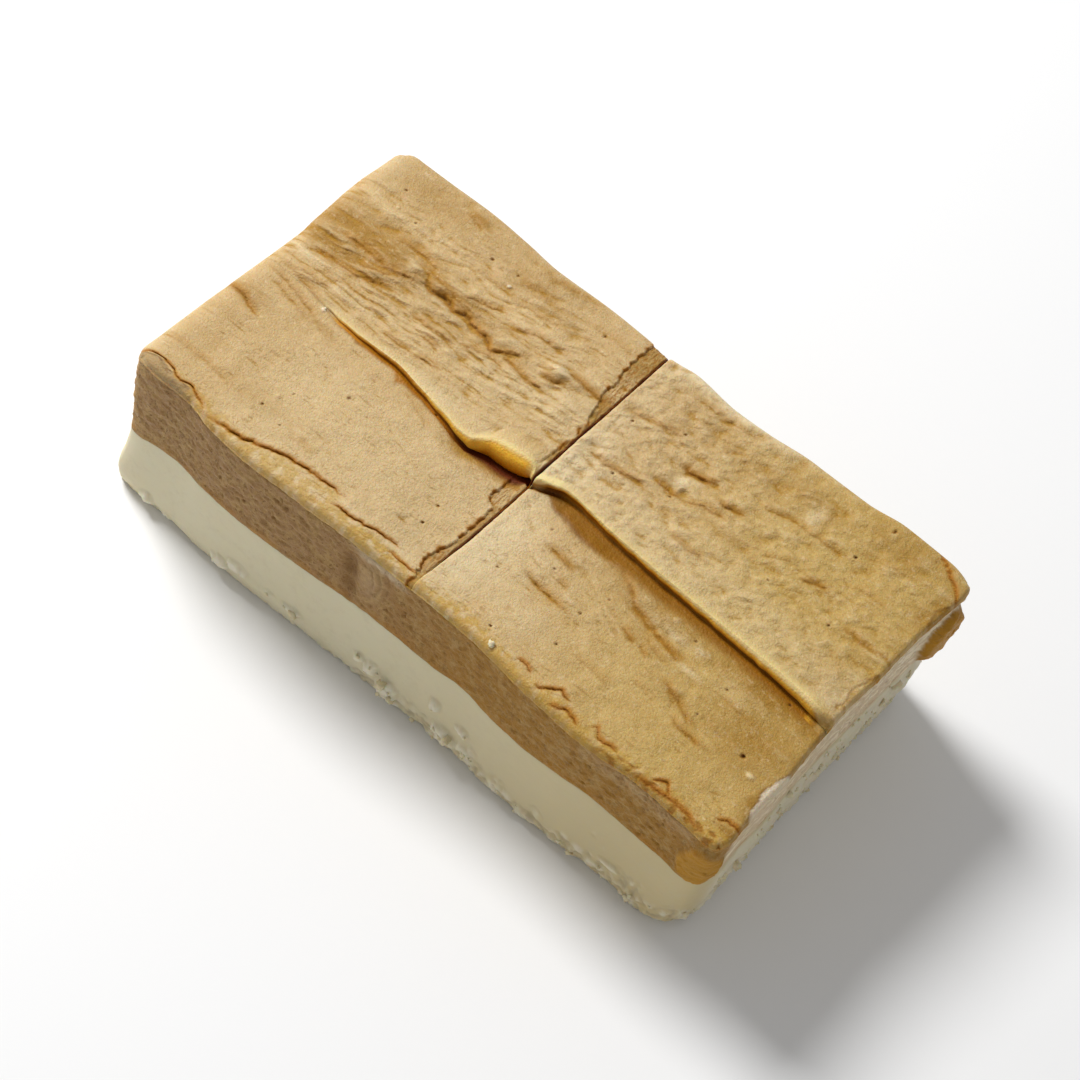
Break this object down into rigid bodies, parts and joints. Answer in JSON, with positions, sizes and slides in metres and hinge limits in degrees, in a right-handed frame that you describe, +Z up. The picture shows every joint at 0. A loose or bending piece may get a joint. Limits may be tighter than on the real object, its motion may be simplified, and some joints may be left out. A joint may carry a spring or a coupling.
{
  "type": "fudge square",
  "caption": "Hand-cut slab of two-layer fudge, caramel over cream, scored across the top into squares, with a rolled fold along the skin.",
  "frame": {"origin": "under the middle of the slab, on the surface it rests on", "axes": "+X along the slab towards the end with the dragged corner, +Y towards the back long side, +Z up"},
  "size_m": [0.1146, 0.0632, 0.0344],
  "materials": {
    "caramel_fudge": "tan caramel fudge, satin and slightly waxy, wrinkled skin on top and a knife-cut grain at the sides",
    "cream_fudge": "ivory vanilla fudge, matt and smooth where cut, crumbly along the base"
  },
  "bodies": {
    "root": {"caramel_layer": "caramel_fudge", "cream_layer": "cream_fudge"}
  },
  "joints": []
}
